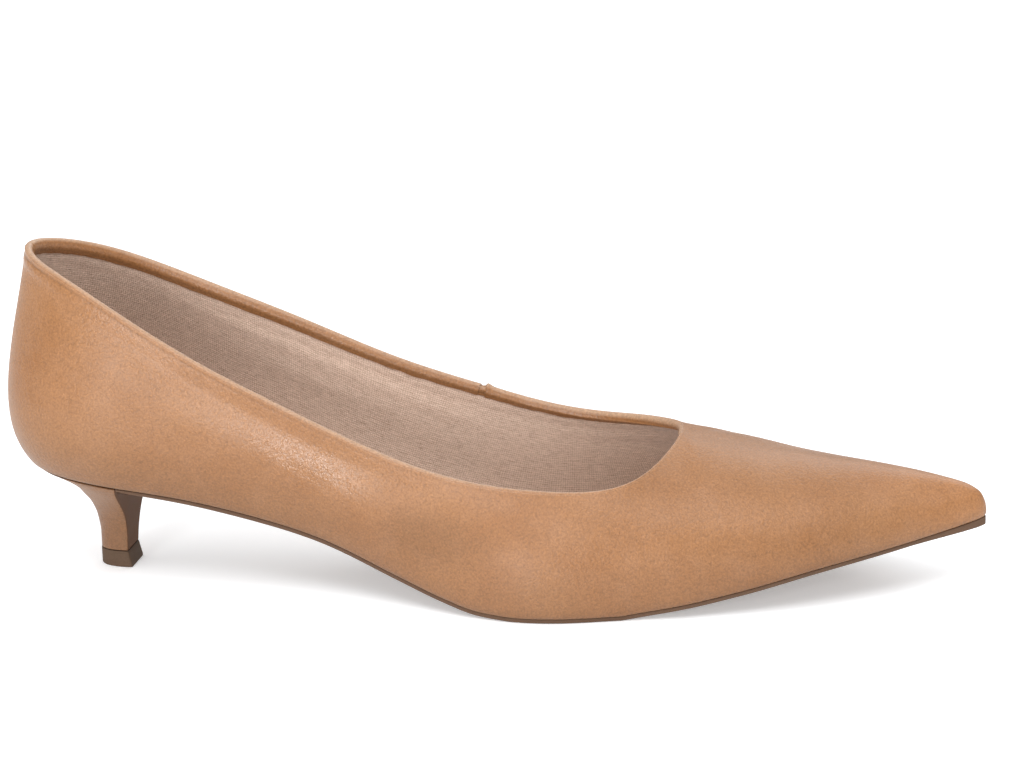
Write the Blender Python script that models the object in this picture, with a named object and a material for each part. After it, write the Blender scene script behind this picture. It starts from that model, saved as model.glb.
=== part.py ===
"""Kitten heel pump, right shoe, pointed toe.

The shoe is drawn in millimetres with x from the rear to the toe, y towards the inner side of the
foot and z up from the floor. The meshes are in metres, and the whole shoe is centred at the end.
"""

import bmesh
import bpy
import numpy as np

MM = 0.001

# Whole shoe
LENGTH = 262.0
BALL_WIDTH = 78.0
BACK_HEIGHT = 88.5
SEAT_RISE = 28.6
TOE_SPRING = 16.8

# Sheets and gaps
CLEARANCE = 0.3
WALL = 1.6
FACING_STEP = 0.4
FACING_HEIGHT = 5.6
ROLL_HEIGHT = 0.6
SOLE_THICKNESS = 1.1
SOLE_SKIVE = 0.8
SOLE_INSET = 1.0
SOLE_TOE_SHARE = 0.2
INSOLE_THICKNESS = 2.2

# Heel
HEEL_INSET = 0.4
HEEL_BREAST = 33.4
TOP_PIECE_HEIGHT = 4.5
TIP_LENGTH = 10.0
TIP_WIDTH = 11.6
TIP_BACK = 22.4
TIP_FLARE = 1.1
TIP_SIDE_FLARE = 0.3
TIP_STEP = 0.1

# Step used to find the direction of a curve, and how far a rib's top leans on the outline's facing
NEARBY = 0.01
HEADING_REACH = 9.6

# Mesh fineness
RIBS_PER_STATION = 3
WALL_ROWS = 9
SHEET_STEPS = 46
SHEET_END = 0.03
HEEL_STEPS = 12

# Colours, linear
TAN = (0.52, 0.25, 0.115)
TAUPE = (0.36, 0.25, 0.21)
SOLE_BROWN = (0.105, 0.07, 0.05)
RUBBER_BROWN = (0.06, 0.04, 0.03)

# Feather line, one row per station from the back (0) to the toe tip (15).
# along: percent of LENGTH; outer and inner: percent of BALL_WIDTH
FEATHER = [
    # outer_along, outer, inner_along, inner
    (2.0, 0.0, 2.0, 0.0),
    (4.6, -21.0, 4.6, 20.8),
    (10.9, -29.5, 10.9, 29.0),
    (19.1, -28.6, 19.1, 27.0),
    (28.2, -29.2, 28.2, 24.4),
    (37.8, -34.4, 37.8, 24.8),
    (47.7, -46.0, 47.3, 31.0),
    (57.3, -52.8, 57.3, 42.3),
    (65.6, -46.6, 66.4, 48.7),
    (71.4, -42.3, 73.3, 47.7),
    (76.0, -37.6, 78.6, 43.8),
    (82.4, -30.0, 84.4, 37.8),
    (88.9, -18.2, 89.7, 30.5),
    (94.7, -5.1, 94.7, 22.6),
    (98.3, 3.2, 98.2, 16.4),
    (100.0, 10.3, 100.0, 10.3),
]

# Topline, one row per station from the back (0) to the throat (10).
# along: percent of LENGTH; outer and inner: percent of BALL_WIDTH; heights: percent of BACK_HEIGHT
TOPLINE = [
    # outer_along, outer, outer_height, inner_along, inner, inner_height
    (2.2, 0.0, 100.0, 2.2, 0.0, 100.0),
    (4.2, -13.5, 97.6, 4.2, 13.5, 98.0),
    (10.3, -26.3, 90.8, 10.3, 26.3, 91.0),
    (19.8, -30.8, 74.6, 19.8, 30.3, 81.4),
    (29.0, -33.6, 61.2, 29.0, 32.4, 70.3),
    (38.2, -36.3, 49.3, 38.2, 34.6, 58.8),
    (47.3, -39.7, 40.7, 47.3, 37.2, 49.9),
    (56.1, -42.0, 37.7, 56.1, 37.6, 43.8),
    (63.4, -38.5, 37.7, 63.4, 31.0, 43.7),
    (67.7, -23.7, 41.0, 67.7, 18.0, 45.8),
    (69.5, 2.6, 46.0, 69.5, 2.6, 46.0),
]

# Vamp ridge, one row per station from the throat (10) to the top of the toe (15)
RIDGE = [
    # along, across, height
    (69.5, 2.6, 46.0),
    (77.5, 5.1, 41.0),
    (85.5, 7.1, 37.4),
    (92.0, 8.7, 34.4),
    (95.4, 9.5, 32.3),
    (97.1, 9.9, 31.0),
]

# How a rib leaves the feather line and meets the topline, one row per station.
# leans: degrees from straight up or straight down, outwards; pulls: percent of the rib's span
RIB_SHAPE = [
    # outer_foot_lean, outer_foot_pull, outer_top_lean, outer_top_pull, then the same for inner
    (44, 30, 7, 33, 44, 30, 7, 33),
    (43, 32, 8, 33, 43, 32, 8, 33),
    (38, 36, 9, 33, 38, 36, 9, 33),
    (34, 36, 6, 33, 36, 36, 5, 33),
    (28, 36, 3, 33, 35, 36, -1, 33),
    (24, 36, 5, 33, 34, 36, -3, 33),
    (16, 38, 12, 33, 28, 37, 0, 33),
    (10, 40, 24, 34, 18, 39, 12, 34),
    (10, 42, 40, 38, 14, 41, 34, 36),
    (12, 44, 66, 42, 12, 43, 62, 38),
    (12, 45, 90, 39, 12, 45, 90, 34),
    (12, 42, 90, 40, 12, 42, 90, 36),
    (12, 40, 90, 40, 12, 40, 90, 38),
    (10, 40, 90, 42, 10, 40, 90, 42),
    (6, 40, 90, 45, 6, 40, 90, 45),
    (0, 42, 90, 52, 0, 42, 90, 52),
]

# Rise of the bed above the tread, from the rear to the ball: percent of SEAT_RISE
ARCH = [
    # along, rise
    (0.0, 103.0),
    (2.2, 102.0),
    (12.7, 91.0),
    (18.5, 83.0),
    (24.5, 72.5),
    (33.2, 53.5),
    (42.0, 25.5),
    (47.5, 9.8),
    (51.0, 2.4),
    (54.5, 0.0),
]

# Rise of the bed from the ball to the toe: percent of TOE_SPRING
SPRING = [
    # along, rise
    (65.5, 0.0),
    (71.0, 13.0),
    (77.0, 31.0),
    (84.0, 56.0),
    (94.0, 82.0),
    (100.0, 100.0),
]

# Heel from the seat (drop 0) to the tip (drop 100).
# back: percent of the way from the seat's back to the tip's back; front: the same for the breast;
# width: percent of the way from the tip's width to the seat's
HEEL = [
    # drop, back, front, width
    (0.0, 0.0, 0.0, 100.0),
    (6.0, 26.0, 14.0, 93.0),
    (13.0, 48.0, 25.0, 83.0),
    (23.0, 66.0, 38.0, 66.0),
    (33.0, 75.0, 48.0, 49.0),
    (46.0, 87.0, 60.0, 29.0),
    (64.0, 96.0, 75.0, 11.0),
    (85.0, 100.0, 91.0, 2.0),
    (100.0, 100.0, 100.0, 0.0),
]


def clear_scene():
    for item in list(bpy.data.objects):
        bpy.data.objects.remove(item, do_unlink=True)


def material(name, colour, roughness):
    made = bpy.data.materials.new(name)
    made.use_nodes = True
    shader = made.node_tree.nodes["Principled BSDF"]
    shader.inputs["Base Color"].default_value = (*colour, 1.0)
    shader.inputs["Roughness"].default_value = roughness
    shader.inputs["Metallic"].default_value = 0.0
    return made


def unit(vectors):
    """Each row scaled to length one."""
    return vectors / np.linalg.norm(vectors, axis=-1, keepdims=True)


def slopes(rows, closed):
    """Slope at every row of the smooth curve through evenly spaced rows."""
    count = len(rows)
    matrix = np.zeros((count, count))
    right = np.zeros_like(rows)
    for i in range(count):
        before, after = (i - 1) % count, (i + 1) % count
        if closed or 0 < i < count - 1:
            matrix[i, before] += 1.0
            matrix[i, i] += 4.0
            matrix[i, after] += 1.0
            right[i] = 3.0 * (rows[after] - rows[before])
        else:
            near = 1 if i == 0 else count - 2
            matrix[i, i] = 2.0
            matrix[i, near] = 1.0
            right[i] = 3.0 * (rows[near] - rows[i]) * (1 if i == 0 else -1)
    return np.linalg.solve(matrix, right)


def curve(rows, closed, stations):
    """Points at these stations on the smooth curve through the rows."""
    rows = np.asarray(rows, float)
    count = len(rows)
    slope = slopes(rows, closed)
    stations = np.asarray(stations, float)
    low = np.floor(stations).astype(int)
    if not closed:
        low = np.clip(low, 0, count - 2)
    t = (stations - low)[:, None]
    a, b = low % count, (low + 1) % count
    return (
        rows[a] * (2 * t**3 - 3 * t**2 + 1)
        + slope[a] * (t**3 - 2 * t**2 + t)
        + rows[b] * (3 * t**2 - 2 * t**3)
        + slope[b] * (t**3 - t**2)
    )


def gentle(x, table):
    """Height at x along a table, with no overshoot between its rows."""
    table = np.asarray(table, float)
    xs, ys = table[:, 0], table[:, 1]
    step = np.diff(xs)
    grade = np.diff(ys) / step
    slope = np.zeros(len(xs))
    slope[0], slope[-1] = grade[0], grade[-1]
    for i in range(1, len(xs) - 1):
        if grade[i - 1] * grade[i] > 0:
            w1, w2 = 2 * step[i] + step[i - 1], step[i] + 2 * step[i - 1]
            slope[i] = (w1 + w2) / (w1 / grade[i - 1] + w2 / grade[i])
    x = np.clip(np.asarray(x, float), xs[0], xs[-1])
    i = np.clip(np.searchsorted(xs, x, side="right") - 1, 0, len(xs) - 2)
    t = (x - xs[i]) / step[i]
    return (
        ys[i] * (2 * t**3 - 3 * t**2 + 1)
        + slope[i] * step[i] * (t**3 - 2 * t**2 + t)
        + ys[i + 1] * (3 * t**2 - 2 * t**3)
        + slope[i + 1] * step[i] * (t**3 - t**2)
    )


def bed_height(x):
    """Height of the feather line above the floor."""
    share = 100.0 * np.asarray(x, float) / LENGTH
    tread = SOLE_THICKNESS + CLEARANCE
    arch = SEAT_RISE * gentle(share, ARCH) / 100.0
    spring = TOE_SPRING * gentle(share, SPRING) / 100.0
    return tread + np.where(share < ARCH[-1][0], arch, spring)


def loop(outer, inner):
    """Rows of both sides as one closed loop: back, outer side, front, inner side."""
    return np.array(outer + inner[-2:0:-1], float)


def feather_points(stations):
    """Feather line at these stations of its closed loop, as x and y."""
    outer = [(row[0], row[1]) for row in FEATHER]
    inner = [(row[2], row[3]) for row in FEATHER]
    scale = np.array([LENGTH, BALL_WIDTH]) / 100.0
    return curve(loop(outer, inner), True, stations) * scale


def feather_outward(stations):
    """Level direction that faces away from the foot at these stations."""
    stations = np.asarray(stations, float)
    along = feather_points(stations + NEARBY) - feather_points(stations - NEARBY)
    return unit(np.stack([along[:, 1], -along[:, 0]], 1))


def topline_points(stations):
    outer = [row[0:3] for row in TOPLINE]
    inner = [row[3:6] for row in TOPLINE]
    scale = np.array([LENGTH, BALL_WIDTH, BACK_HEIGHT]) / 100.0
    return curve(loop(outer, inner), True, stations) * scale


def ridge_points(stations):
    scale = np.array([LENGTH, BALL_WIDTH, BACK_HEIGHT]) / 100.0
    return curve(RIDGE, False, stations) * scale


def rib_shapes(stations):
    outer = [row[0:4] for row in RIB_SHAPE]
    inner = [row[4:8] for row in RIB_SHAPE]
    return curve(loop(outer, inner), True, stations)


def rib_ends(side, stations):
    """Foot and top of the ribs on one side; stations count from the back, side is 1 or -1."""
    toe, throat = len(FEATHER) - 1, len(TOPLINE) - 1
    foot_at = stations if side > 0 else 2 * toe - stations
    top_at = np.minimum(stations, throat)
    top_at = top_at if side > 0 else 2 * throat - top_at
    foot = feather_points(foot_at)
    foot = np.column_stack([foot, bed_height(foot[:, 0])])
    on_ridge = (stations > throat)[:, None]
    top = np.where(
        on_ridge, ridge_points(np.maximum(stations - throat, 0)), topline_points(top_at)
    )
    return foot, top, foot_at


def ribs(side, stations):
    """Four handles of every rib on one side."""
    foot, top, foot_at = rib_ends(side, stations)
    outward = feather_outward(foot_at)
    foot_lean, foot_pull, top_lean, top_pull = rib_shapes(foot_at).T
    foot_lean, top_lean = np.radians(foot_lean), np.radians(top_lean)
    span = np.linalg.norm(top - foot, axis=1)
    throat = len(TOPLINE) - 1
    along = np.maximum(stations - throat, 0)
    fall = ridge_points(along + NEARBY) - ridge_points(along - NEARBY)
    grade = fall[:, 2] / fall[:, 0]
    heading = unit(foot[:, :2] - top[:, :2] + outward * HEADING_REACH)
    leave = np.column_stack([outward * np.sin(foot_lean)[:, None], np.cos(foot_lean)])
    down = heading[:, 0] * grade * np.sin(top_lean) - np.cos(top_lean)
    meet = np.column_stack([heading * np.sin(top_lean)[:, None], down])
    low = foot + leave * (span * foot_pull / 100.0)[:, None]
    high = top + meet * (span * top_pull / 100.0)[:, None]
    return foot, low, high, top


def rib_rows(span):
    """Shares along each rib at which the wall has a row, from foot to top."""
    edge = FACING_HEIGHT * np.array([1.18, 1.0, 0.25, 0.0])
    near_top = 1.0 - edge[None, :] / span[:, None]
    share = np.linspace(0.0, 1.0, WALL_ROWS)[:-1] ** 1.25
    return np.concatenate([near_top[:, :1] * share[None, :], near_top], axis=1)


def on_rib(handles, share):
    """Points on the ribs at each rib's own shares."""
    a, b, c, d = (h[:, None, :] for h in handles)
    s = share[:, :, None]
    return a * (1 - s) ** 3 + 3 * b * s * (1 - s) ** 2 + 3 * c * s**2 * (1 - s) + d * s**3


def rib_stations():
    last = len(FEATHER) - 1
    return np.linspace(0, last, last * RIBS_PER_STATION + 1)


def upper_skin():
    """Outer skin of the upper: its points, faces and the point numbers of each side's ribs."""
    stations = rib_stations()
    throat = (len(TOPLINE) - 1) * RIBS_PER_STATION
    points, faces, numbers = [], [], {}
    for side in (1, -1):
        handles = ribs(side, stations)
        share = rib_rows(np.linalg.norm(handles[3] - handles[0], axis=1))
        grid = on_rib(handles, share)
        index = np.zeros(grid.shape[:2], int)
        for i, j in np.ndindex(index.shape):
            at_end = i in (0, len(stations) - 1)
            on_ridge = j == grid.shape[1] - 1 and i >= throat
            if side < 0 and (at_end or on_ridge):
                index[i, j] = numbers[1][i, j]
            else:
                index[i, j] = len(points)
                points.append(grid[i, j])
        numbers[side] = index
        for i, j in np.ndindex(index.shape[0] - 1, index.shape[1] - 1):
            quad = [index[i, j], index[i + 1, j], index[i + 1, j + 1], index[i, j + 1]]
            faces.append(quad[::side])
    return np.array(points), faces, numbers


def point_normals(points, faces):
    """Outward direction at every point, averaged over its faces."""
    total = np.zeros_like(points)
    for face in faces:
        corners = points[face]
        total[face] += np.cross(corners[2] - corners[0], corners[3] - corners[1])
    return unit(total)


def inner_skin(points, faces, numbers):
    """The outer skin moved inwards by the wall, which is thicker in the facing band."""
    stations = rib_stations()
    last = len(FEATHER) - 1
    depth = np.full(len(points), WALL)
    for index in numbers.values():
        fade = np.clip(len(TOPLINE) - stations, 0.0, 1.0)[:, None]
        depth[index[:, -3:]] = WALL + FACING_STEP * fade
    inner = points - point_normals(points, faces) * depth[:, None]
    for side, index in numbers.items():
        foot = index[:, 0]
        outward = feather_outward(stations if side > 0 else 2 * last - stations)
        inner[foot, :2] = points[foot, :2] - outward * WALL
        inner[foot, 2] = points[foot, 2]
    return inner


def band(first, second):
    """Faces between two closed rows of the same length."""
    ahead = zip(first, first[1:] + first[:1], second[1:] + second[:1], second)
    return [list(quad) for quad in ahead]


def build_upper(look):
    points, faces, numbers = upper_skin()
    inner = inner_skin(points, faces, numbers)
    count = len(points)
    throat = (len(TOPLINE) - 1) * RIBS_PER_STATION
    foot = [*numbers[1][:, 0], *numbers[-1][-2:0:-1, 0]]
    top = [*numbers[1][: throat + 1, -1], *numbers[-1][throat - 1 : 0 : -1, -1]]
    below = [*numbers[1][: throat + 1, -2], *numbers[-1][throat - 1 : 0 : -1, -2]]
    crest = (points[top] + inner[top]) / 2.0
    crest += unit(points[top] - points[below]) * ROLL_HEIGHT
    crest_numbers = list(range(2 * count, 2 * count + len(top)))
    faces += [[number + count for number in face[::-1]] for face in faces]
    faces += band(foot, [number + count for number in foot])
    faces += band(top, crest_numbers)
    faces += band(crest_numbers, [number + count for number in top])
    return add_piece("upper", [*points, *inner, *crest], faces, look, 35)


def side_tables(inset, toe_share=1.0):
    """Outline moved inwards, less at the toe, split at its rear and toe: x and y of each side."""
    last = len(FEATHER) - 1
    stations = np.linspace(0, 2 * last, 2 * last * 24, endpoint=False)
    from_toe = np.clip(np.abs(stations - last) / 2.0, 0.0, 1.0)[:, None]
    depth = inset * (toe_share + (1.0 - toe_share) * from_toe)
    ring = feather_points(stations) - feather_outward(stations) * depth
    rear, toe = int(np.argmin(ring[:, 0])), int(np.argmax(ring[:, 0]))
    ring = np.roll(ring, -rear, axis=0)
    toe = (toe - rear) % len(ring)
    outer, inner = ring[: toe + 1], np.vstack([ring[toe:], ring[:1]])[::-1]
    return outer, inner


def sheet_places(start, end, round_start):
    """Places along a sheet, closer together at rounded ends, with both ends of the flat tread."""
    share = np.linspace(0.0, 1.0, SHEET_STEPS)
    ease = (1 - np.cos(np.pi * share)) / 2 if round_start else np.sin(np.pi * share / 2)
    tread = np.array([ARCH[-1][0], SPRING[0][0]]) * LENGTH / 100.0
    return np.union1d(start + (end - start) * ease, tread)


def build_sheet(name, inset, toe_share, start, top_of, bottom_of, look):
    """A sheet that follows the bed, from start (or its own rear) to the toe."""
    outer, inner = side_tables(inset, toe_share)
    rear, toe = outer[0, 0] + SHEET_END, outer[-1, 0] - SHEET_END
    places = sheet_places(rear if start is None else start, toe, start is None)
    verts, faces = [], []
    for x in places:
        left = np.interp(x, outer[:, 0], outer[:, 1])
        right = np.interp(x, inner[:, 0], inner[:, 1])
        top, bottom = float(top_of(x)), float(bottom_of(x))
        verts += [(x, left, bottom), (x, right, bottom), (x, right, top), (x, left, top)]
    for i in range(len(places) - 1):
        for a in range(4):
            b = (a + 1) % 4
            faces.append([4 * i + a, 4 * i + b, 4 * i + 4 + b, 4 * i + 4 + a])
    faces.append([3, 2, 1, 0])
    end = 4 * (len(places) - 1)
    faces.append([end, end + 1, end + 2, end + 3])
    return add_piece(name, verts, faces, look, 30)


def seat_ring():
    """Seat outline of the heel from the outer breast corner round the back to the inner one."""
    outer, inner = side_tables(HEEL_INSET)
    rear = outer[0, 0]
    share = 1 - np.cos(np.linspace(0.0, np.pi / 2, HEEL_STEPS))
    places = rear + (HEEL_BREAST - rear) * share
    left = [(x, np.interp(x, outer[:, 0], outer[:, 1])) for x in places[:0:-1]]
    right = [(x, np.interp(x, inner[:, 0], inner[:, 1])) for x in places[1:]]
    return np.array(left + [tuple(outer[0])] + right)


def build_heel(look):
    seat = seat_ring()
    rear, half = seat[:, 0].min(), np.abs(seat[:, 1]).max()
    ahead = (seat[:, 0] - rear) / (HEEL_BREAST - rear)
    tip_top = TOP_PIECE_HEIGHT + CLEARANCE
    seat_top = bed_height(seat[:, 0]) - CLEARANCE
    tip_front = TIP_BACK + TIP_LENGTH - TIP_FLARE - TIP_STEP
    tip_half = (TIP_WIDTH - TIP_SIDE_FLARE) / 2 - TIP_STEP
    rings = []
    drops = np.array([row[0] for row in HEEL])
    for drop in np.unique(np.concatenate([drops, drops[:-1] + np.diff(drops) / 2])):
        back = gentle(drop, [(r[0], r[1]) for r in HEEL]) / 100.0
        front = gentle(drop, [(r[0], r[2]) for r in HEEL]) / 100.0
        width = gentle(drop, [(r[0], r[3]) for r in HEEL]) / 100.0
        x_back = rear + (TIP_BACK + TIP_STEP - rear) * back
        x_front = HEEL_BREAST + (tip_front - HEEL_BREAST) * front
        reach = (tip_half + (half - tip_half) * width) / half
        x = x_back + (x_front - x_back) * ahead
        z = seat_top + (tip_top - seat_top) * drop / 100.0
        rings.append(np.column_stack([x, seat[:, 1] * reach, z]))
    return loft("heel", rings, look)


def build_top_piece(look):
    seat = seat_ring()
    rear, half = seat[:, 0].min(), np.abs(seat[:, 1]).max()
    ahead = (seat[:, 0] - rear) / (HEEL_BREAST - rear)
    rings = []
    for level in (1.0, 0.0):
        length = TIP_LENGTH - TIP_FLARE * level
        width = TIP_WIDTH - TIP_SIDE_FLARE * level
        x = TIP_BACK + length * ahead
        y = seat[:, 1] * width / 2 / half
        rings.append(np.column_stack([x, y, np.full(len(x), TOP_PIECE_HEIGHT * level)]))
    return loft("top_piece", rings, look)


def loft(name, rings, look):
    """Solid between the first ring (top) and the last (bottom), with ends strip by strip."""
    size = len(rings[0])
    verts = [tuple(point) for ring in rings for point in ring]
    faces = []
    for i in range(len(rings) - 1):
        for a in range(size):
            b = (a + 1) % size
            faces.append([i * size + a, i * size + b, (i + 1) * size + b, (i + 1) * size + a])
    end = (len(rings) - 1) * size
    for a in range(size // 2):
        low, high = a, size - 1 - a
        if low + 1 < high - 1:
            faces.append([low, high, high - 1, low + 1])
            faces.append([end + low, end + low + 1, end + high - 1, end + high])
        else:
            faces.append([low, high, low + 1])
            faces.append([end + low, end + low + 1, end + high])
            break
    return add_piece(name, verts, faces, look, 30)


def add_piece(name, verts, faces, look, sharp):
    """Mesh object in metres, smooth shaded, with hard edges above this angle in degrees."""
    mesh = bpy.data.meshes.new(name)
    mesh.from_pydata([tuple(float(c) * MM for c in v) for v in verts], [], faces)
    work = bmesh.new()
    work.from_mesh(mesh)
    bmesh.ops.recalc_face_normals(work, faces=work.faces)
    bmesh.ops.triangulate(work, faces=work.faces)
    work.to_mesh(mesh)
    work.free()
    mesh.shade_smooth()
    mesh.set_sharp_from_angle(angle=float(np.radians(sharp)))
    mesh.materials.append(look)
    piece = bpy.data.objects.new(name, mesh)
    bpy.context.scene.collection.objects.link(piece)
    return piece


def centre(pieces):
    """Moves the shoe so that the floor is at z = 0 and its box is centred over the origin."""
    corners = np.array([v.co[:] for piece in pieces for v in piece.data.vertices])
    low, high = corners.min(axis=0), corners.max(axis=0)
    root = bpy.data.objects.new("kitten_heel_pump", None)
    bpy.context.scene.collection.objects.link(root)
    root.location = (-(low[0] + high[0]) / 2, -(low[1] + high[1]) / 2, -low[2])
    for piece in pieces:
        piece.parent = root


def sole_underside(x):
    """Underside of the outsole, thinned towards the breast and flat under the ball."""
    skive = np.clip((x - HEEL_BREAST) / (LENGTH * 0.12), 0.0, 1.0)
    thick = SOLE_SKIVE + (SOLE_THICKNESS - SOLE_SKIVE) * skive
    return bed_height(x) - CLEARANCE - thick


def main():
    clear_scene()
    tan = material("tan_leather", TAN, 0.38)
    pieces = [
        build_upper(tan),
        build_sheet(
            "insole",
            WALL + CLEARANCE,
            1.0,
            None,
            lambda x: bed_height(x) + INSOLE_THICKNESS,
            bed_height,
            material("taupe_lining", TAUPE, 0.85),
        ),
        build_sheet(
            "outsole",
            SOLE_INSET,
            SOLE_TOE_SHARE,
            HEEL_BREAST + CLEARANCE,
            lambda x: bed_height(x) - CLEARANCE,
            sole_underside,
            material("brown_sole", SOLE_BROWN, 0.6),
        ),
        build_heel(tan),
        build_top_piece(material("brown_rubber", RUBBER_BROWN, 0.65)),
    ]
    centre(pieces)


main()
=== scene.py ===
"""Kitten heel pump, right shoe, in tan leather with a woven lining.

The shoe is drawn in millimetres with x from the rear to the toe, y towards the inner side of the
foot and z up from the floor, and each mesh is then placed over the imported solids, in metres.
"""

import bmesh
import bpy
import numpy as np
from mathutils import Matrix, Vector


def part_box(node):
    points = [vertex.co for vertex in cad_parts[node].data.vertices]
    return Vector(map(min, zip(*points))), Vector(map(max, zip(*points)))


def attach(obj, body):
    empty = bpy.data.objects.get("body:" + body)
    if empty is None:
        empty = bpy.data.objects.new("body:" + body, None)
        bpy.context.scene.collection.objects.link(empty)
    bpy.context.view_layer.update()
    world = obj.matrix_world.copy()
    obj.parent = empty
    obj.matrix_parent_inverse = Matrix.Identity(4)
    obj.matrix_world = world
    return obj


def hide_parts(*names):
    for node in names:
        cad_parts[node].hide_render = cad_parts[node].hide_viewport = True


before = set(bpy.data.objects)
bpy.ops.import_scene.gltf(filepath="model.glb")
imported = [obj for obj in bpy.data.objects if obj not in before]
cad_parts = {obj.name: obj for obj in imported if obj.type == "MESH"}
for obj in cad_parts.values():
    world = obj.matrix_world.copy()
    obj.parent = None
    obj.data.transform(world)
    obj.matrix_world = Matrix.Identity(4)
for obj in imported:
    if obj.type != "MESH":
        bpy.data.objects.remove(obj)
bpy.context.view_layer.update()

bl_info = {
    "name": "Kitten heel pump",
    "version": (1, 0, 0),
    "blender": (4, 5, 0),
    "location": "View3D > Sidebar > Pump",
    "description": "Builds a pointed kitten heel pump with its lining, sole and heel",
    "category": "Add Mesh",
}

MM = 0.001
# Step in stations for the direction of a line, and how far outwards a rib heads from its top
NEARBY, HEADING_REACH = 0.01, 9.6
# The outsole thins over this share of the length ahead of the heel breast, and at the toe it
# grows by these millimetres, from this share of the length on and over this share
SKIVE_SHARE, TOE_GROWTH, TOE_FROM, TOE_SHARE = 0.12, 0.9, 0.93, 0.06
# Points of the seat outline on each side, and the easing of the corners of the heel and of the
# top piece in millimetres
SEAT_STEPS, HEEL_EASE, TIP_EASE = 60, 0.45, 0.55
# Stitches: rings, points of a ring, radius, half length and lift in millimetres
STITCH_RINGS, STITCH_TURNS, STITCH_RADIUS, STITCH_HALF, STITCH_LIFT = 7, 8, 0.13, 0.5, 0.10

# Feather line, one row per station from the back (0) to the toe tip (15).
# along: percent of the length; outer and inner: percent of the ball width
FEATHER = [
    # outer_along, outer, inner_along, inner
    (2, 0, 2, 0), (4.6, -21, 4.6, 20.8), (10.9, -29.5, 10.9, 29), (19.1, -28.6, 19.1, 27),
    (28.2, -29.2, 28.2, 24.4), (37.8, -34.4, 37.8, 24.8), (47.7, -46, 47.3, 31),
    (57.3, -52.8, 57.3, 42.3), (65.6, -46.6, 66.4, 48.7), (71.4, -42.3, 73.3, 47.7),
    (76, -37.6, 78.6, 43.8), (82.4, -30, 84.4, 37.8), (88.9, -18.2, 89.7, 30.5),
    (94.7, -5.1, 94.7, 22.6), (98.3, 3.2, 98.2, 16.4), (100, 10.3, 100, 10.3),
]

# Topline, one row per station from the back (0) to the throat (10).
# along: percent of the length; outer and inner: percent of the ball width;
# heights: percent of the back height
TOPLINE = [
    # outer_along, outer, outer_height, inner_along, inner, inner_height
    (2.2, 0, 100, 2.2, 0, 100),
    (4.2, -13.5, 97.6, 4.2, 13.5, 98.8),
    (10.3, -26.3, 90.8, 10.3, 26.3, 92.5),
    (19.8, -30.8, 74.6, 19.8, 30.3, 81.4),
    (29, -33.6, 61.2, 29, 32.4, 70.3),
    (38.2, -36.3, 49.3, 38.2, 34.6, 58.8),
    (47.3, -39.7, 40.7, 47.3, 37.2, 49.9),
    (56.1, -42, 37.7, 56.1, 37.6, 43.8),
    (63.4, -38.5, 37.7, 63.4, 31, 43.7),
    (67.7, -23.7, 41, 67.7, 18, 45.8),
    (69.5, 2.6, 46, 69.5, 2.6, 46),
]

# Vamp ridge, one row per station from the throat (10) to the top of the toe (15)
RIDGE = [
    # along, across, height
    (69.5, 2.6, 46), (77.5, 5.1, 41), (85.5, 7.1, 37.4), (92, 8.7, 34.4), (95.4, 9.5, 32.3),
    (97.1, 9.9, 31),
]

# How a rib leaves the feather line and meets the topline, one row per station.
# leans: degrees from straight up or straight down, outwards; pulls: percent of the rib's span
RIB_SHAPE = [
    # outer_foot_lean, outer_foot_pull, outer_top_lean, outer_top_pull, then the same for inner
    (44, 30, 7, 33, 44, 30, 7, 33), (43, 32, 8, 33, 43, 32, 8, 33),
    (38, 36, 9, 33, 38, 36, 9, 33), (34, 36, 6, 33, 36, 36, 5, 33),
    (28, 36, 3, 33, 35, 36, -1, 33), (24, 36, 5, 33, 34, 36, -3, 33),
    (16, 38, 12, 33, 28, 37, 0, 33), (10, 40, 24, 34, 18, 39, 12, 34),
    (10, 42, 40, 38, 14, 41, 34, 36), (12, 44, 66, 42, 12, 43, 62, 38),
    (12, 45, 90, 39, 12, 45, 90, 34), (12, 42, 90, 40, 12, 42, 90, 36),
    (12, 40, 90, 40, 12, 40, 90, 38), (10, 40, 90, 42, 10, 40, 90, 42),
    (6, 40, 90, 45, 6, 40, 90, 45), (0, 42, 90, 52, 0, 42, 90, 52),
]

# Rise of the bed above the tread, from the rear to the ball: percent of the seat rise
ARCH = [
    # along, rise
    (0, 103), (2.2, 102), (12.7, 91), (18.5, 83), (24.5, 72.5), (33.2, 53.5), (42, 25.5),
    (47.5, 9.8), (51, 2.4), (54.5, 0),
]

# Rise of the bed from the ball to the toe: percent of the toe spring
SPRING = [
    # along, rise
    (65.5, 0), (71, 13), (77, 31), (84, 56), (94, 82), (100, 100),
]

# Heel from the seat (drop 0) to the tip (drop 100).
# back: percent of the way from the seat's back to the tip's back; front: the same for the breast;
# width: percent of the way from the tip's width to the seat's
HEEL = [
    # drop, back, front, width
    (0, 0, 0, 100), (6, 26, 14, 93), (13, 48, 25, 83), (23, 66, 38, 66), (33, 75, 48, 49),
    (46, 87, 60, 29), (64, 96, 75, 11), (85, 100, 91, 2), (100, 100, 100, 0),
]

# Turned edge around the collar in millimetres: drop down the leather from the topline,
# and depth in from its outer face
TURNED_EDGE = [
    # drop, depth
    (0.42, 0.05), (0.4, -0.02), (0.28, -0.05), (0.1, -0.03), (-0.1, 0.06), (-0.3, 0.26),
    (-0.44, 0.55), (-0.52, 0.9), (-0.5, 1.25), (-0.38, 1.6), (-0.12, 1.95), (0.3, 2.2),
    (0.8, 2.4), (1.3, 2.52), (1.8, 2.5), (2.3, 2.4), (2.75, 2.28), (3.1, 2.18), (3.32, 2.05),
    (3.4, 1.8), (3.32, 1.35), (3, 1.18), (1.6, 1.15), (-0.05, 1.15), (-0.05, -0.02),
    (0.38, -0.02),
]

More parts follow.
